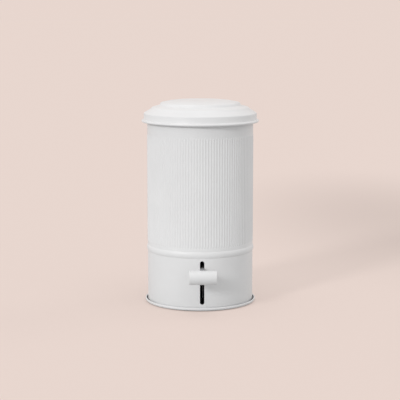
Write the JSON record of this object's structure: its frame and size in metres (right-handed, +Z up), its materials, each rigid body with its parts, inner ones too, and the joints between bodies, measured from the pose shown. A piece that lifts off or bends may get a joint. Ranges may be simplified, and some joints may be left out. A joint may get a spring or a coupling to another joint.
{
  "type": "pedal bin",
  "caption": "White round pedal bin: ribbed sheet-steel shell, stepped domed lid lifted by a foot pedal through a lever and push rod, with a lift-out inner bucket.",
  "frame": {"origin": "on the floor, at the axis of the shell, the middle of the foot ring's underside", "axes": "+Z up along the shell's axis, -Y to the front where the pedal is, +X to the right seen from the front"},
  "size_m": [0.2436, 0.2936, 0.4229],
  "materials": {
    "white_enamel": "satin powder coat",
    "white_plastic": "satin moulded",
    "zinc_steel": "zinc plated",
    "black_plastic": "matt moulded",
    "black_rubber": "matt"
  },
  "bodies": {
    "bin": {"foot_ring": "black_rubber", "base_pan": "white_enamel", "body_shell": "white_enamel", "bucket_shelf": "zinc_steel", "rod_grommet": "black_plastic", "rod_guide": "black_plastic", "pivot_bracket": "zinc_steel", "pivot_pin": "zinc_steel", "pivot_clips": "zinc_steel", "bracket_rivets": "zinc_steel", "hinge_brackets": "zinc_steel", "hinge_pin": "zinc_steel", "hinge_rivets": "zinc_steel"},
    "lid": {"lid_shell": "white_enamel", "lid_hinge_arm": "zinc_steel", "lid_rivets": "zinc_steel", "lid_buffers": "black_rubber"},
    "pedal": {"pedal_lever": "zinc_steel", "pivot_bush": "black_plastic", "pedal_roll": "white_plastic", "pedal_axle": "zinc_steel", "pedal_caps": "white_plastic"},
    "rod": {"push_rod": "zinc_steel", "rod_clips": "zinc_steel"},
    "bucket": {"inner_bucket": "black_plastic"},
    "bail": {"bucket_bail": "zinc_steel"}
  },
  "joints": [
    {"name": "lid_open", "type": "hinge", "parent": "bin", "child": "lid", "pos_m": [0, 0.1175, 0.37], "axis": [-1, 0, 0], "range_deg": [0, 76]},
    {"name": "pedal_press", "type": "hinge", "parent": "bin", "child": "pedal", "pos_m": [0, 0.02397, 0.079], "axis": [1, 0, 0], "range_deg": [0, 19]},
    {"name": "rod_lift", "type": "slide", "parent": "bin", "child": "rod", "axis": [0, 0, 1], "range_m": [0, 0.02579]},
    {"name": "bucket_lift", "type": "slide", "parent": "bin", "child": "bucket", "axis": [0, 0, 1], "range_m": [0, 0.02]},
    {"name": "bail_swing", "type": "hinge", "parent": "bucket", "child": "bail", "pos_m": [0, 0, 0.33604], "axis": [-1, 0, 0], "range_deg": [0, 45]}
  ],
  "couplings": [
    {"joint": "pedal_press", "follows": "lid_open", "ratio": 0.25},
    {"joint": "rod_lift", "follows": "lid_open", "m_per_rad": 0.019437}
  ]
}
